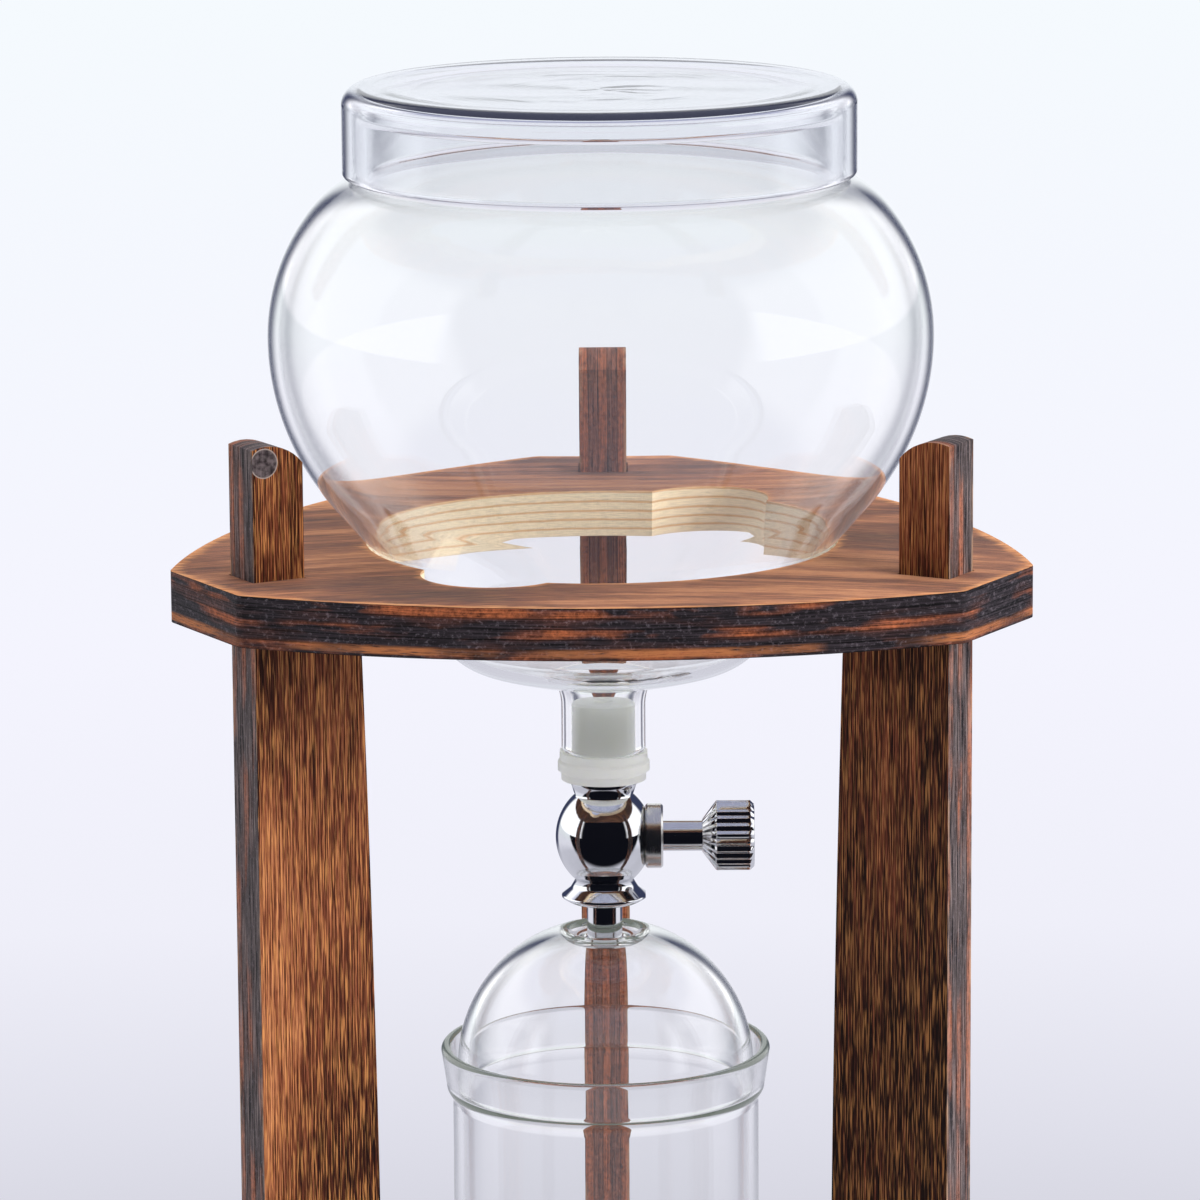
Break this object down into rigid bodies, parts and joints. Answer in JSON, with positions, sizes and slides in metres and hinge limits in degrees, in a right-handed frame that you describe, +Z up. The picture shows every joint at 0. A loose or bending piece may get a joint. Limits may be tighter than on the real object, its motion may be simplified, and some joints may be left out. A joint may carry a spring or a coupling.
{
  "type": "cold drip coffee tower",
  "caption": "Plywood tower holding a glass water globe with a needle valve, a glass brew chamber under a dome, and a glass server, all on one drip axis.",
  "frame": {"origin": "drip axis at the underside of the base plate, on the surface that the stand rests on", "axes": "+Z up along the drip axis, -Y to the front, +X towards the valve's knob"},
  "size_m": [0.1658, 0.1585, 0.4849],
  "materials": {
    "plywood": "charred and brushed birch plywood, satin",
    "clear_glass": "clear borosilicate glass, polished",
    "silicone": "milky translucent silicone",
    "chrome": "polished chrome plate",
    "steel": "plain stainless steel",
    "screw_steel": "zinc-plated steel",
    "brass": "machined brass",
    "packing": "black rubber",
    "black_plastic": "fine matt moulding"
  },
  "bodies": {
    "stand": {"top_plate": "plywood", "middle_plate": "plywood", "base_plate": "plywood", "leg_left": "plywood", "leg_right": "plywood", "leg_back": "plywood", "base_screws": "screw_steel"},
    "globe": {"water_globe": "clear_glass", "stopper": "silicone", "inlet_tube": "steel", "valve_body": "chrome", "valve_seat": "brass", "outlet_tube": "chrome", "packing_nut": "chrome", "packing_ring": "packing"},
    "lid": {"globe_lid": "clear_glass"},
    "needle": {"valve_needle": "steel"},
    "knob": {"valve_stem": "chrome", "knob": "chrome"},
    "dome": {"dome_lid": "clear_glass"},
    "chamber": {"brew_chamber": "clear_glass", "filter_frame": "steel", "filter_mesh": "steel", "filter_seal": "silicone"},
    "server": {"server": "clear_glass"},
    "server_lid": {"server_lid": "black_plastic", "server_lid_seal": "silicone"}
  },
  "joints": [
    {"name": "globe_lift", "type": "slide", "parent": "stand", "child": "globe", "axis": [0, 0, 1], "range_m": [0, 0.32]},
    {"name": "lid_lift", "type": "slide", "parent": "globe", "child": "lid", "axis": [0, 0, 1], "range_m": [0, 0.1]},
    {"name": "needle_travel", "type": "slide", "parent": "globe", "child": "needle", "axis": [1, 0, 0], "range_m": [-0.00076, 0.00151]},
    {"name": "knob_turn", "type": "hinge", "parent": "needle", "child": "knob", "pos_m": [0.02, 0, 0.33489], "axis": [1, 0, 0], "range_deg": [-360, 720]},
    {"name": "dome_lift", "type": "slide", "parent": "stand", "child": "dome", "axis": [0, 0, 1], "range_m": [0, 0.289]},
    {"name": "chamber_lift", "type": "slide", "parent": "stand", "child": "chamber", "axis": [0, 0, 1], "range_m": [0, 0.257]},
    {"name": "server_slide", "type": "slide", "parent": "stand", "child": "server", "axis": [0, -1, 0], "range_m": [0, 0.18]},
    {"name": "server_lid_lift", "type": "slide", "parent": "server", "child": "server_lid", "axis": [0, 0, 1], "range_m": [0, 0.016]}
  ],
  "couplings": [
    {"joint": "needle_travel", "follows": "knob_turn", "m_per_rad": 0.00011937},
    {"joint": "dome_lift", "follows": "globe_lift", "ratio": 0.9},
    {"joint": "chamber_lift", "follows": "globe_lift", "ratio": 0.8}
  ]
}
